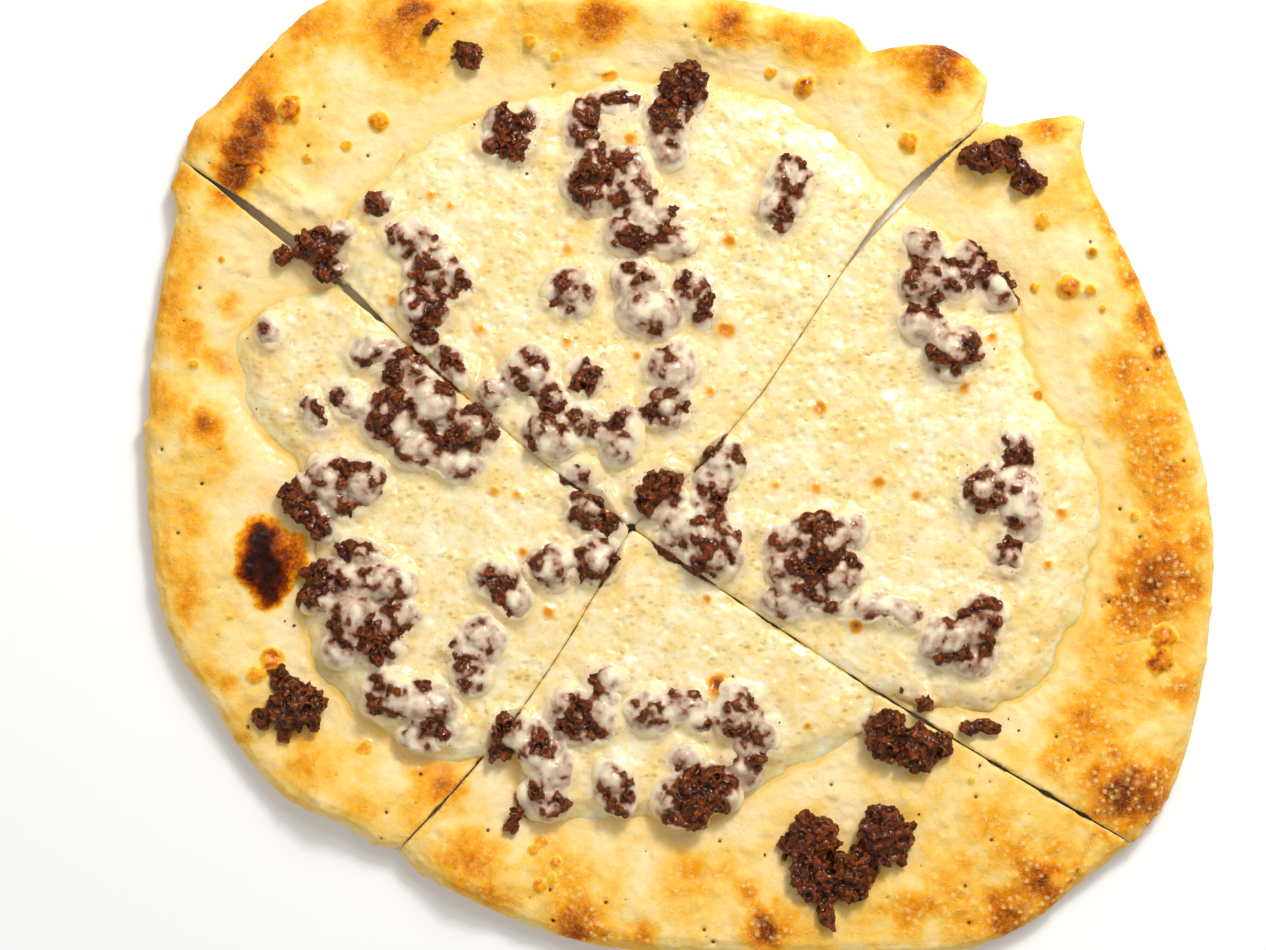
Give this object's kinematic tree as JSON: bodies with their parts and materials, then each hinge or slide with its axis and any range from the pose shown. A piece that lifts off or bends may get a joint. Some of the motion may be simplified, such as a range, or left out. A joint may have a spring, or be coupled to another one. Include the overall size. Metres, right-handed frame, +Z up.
{
  "type": "manakish",
  "caption": "Oval flatbread with a puffed rim, baked under melted cheese with lumps of minced meat, cut crosswise into slices that lie together.",
  "frame": {"origin": "on the surface that the bread lies on, under the middle of its outline", "axes": "+Z up out of the cheese, +X to the right and +Y to the top of the picture, which looks straight down"},
  "size_m": [0.2908, 0.264, 0.0162],
  "materials": {
    "bread": "baked dough, matt, pale cream to golden brown",
    "cheese": "melted cheese, creamy yellow, soft gloss",
    "meat": "cooked minced meat, dark brown, moist"
  },
  "bodies": {
    "root": {"bread_east": "bread", "bread_north": "bread", "bread_south": "bread", "bread_west": "bread", "cheese_east": "cheese", "cheese_north": "cheese", "cheese_south": "cheese", "cheese_west": "cheese", "meat_east_chain": "meat", "meat_east_corner": "meat", "meat_east_cut_side": "meat", "meat_east_east": "meat", "meat_east_inner": "meat", "meat_east_north": "meat", "meat_east_south": "meat", "meat_east_tail": "meat", "meat_north_centre": "meat", "meat_north_centre_low": "meat", "meat_north_centre_top": "meat", "meat_north_centre_west": "meat", "meat_north_clover": "meat", "meat_north_column": "meat", "meat_north_cut_side": "meat", "meat_north_faint": "meat", "meat_north_hook": "meat", "meat_north_middle": "meat", "meat_north_middle_east": "meat", "meat_north_middle_west": "meat", "meat_north_north_east": "meat", "meat_north_pair": "meat", "meat_north_ridge": "meat", "meat_north_tall": "meat", "meat_north_top_left": "meat", "meat_north_top_left_bit": "meat", "meat_north_west_edge": "meat", "meat_south_bridge": "meat", "meat_south_cut_side": "meat", "meat_south_heart": "meat", "meat_south_mid_west": "meat", "meat_south_oval": "meat", "meat_south_pink": "meat", "meat_south_round": "meat", "meat_south_shred": "meat", "meat_south_west": "meat", "meat_west_bead": "meat", "meat_west_centre": "meat", "meat_west_cluster": "meat", "meat_west_crumb": "meat", "meat_west_inner": "meat", "meat_west_lower": "meat", "meat_west_outer": "meat", "meat_west_seed": "meat", "meat_west_slim": "meat", "meat_west_small": "meat", "meat_west_south": "meat", "meat_west_upper": "meat", "meat_west_veiled": "meat"}
  },
  "joints": []
}
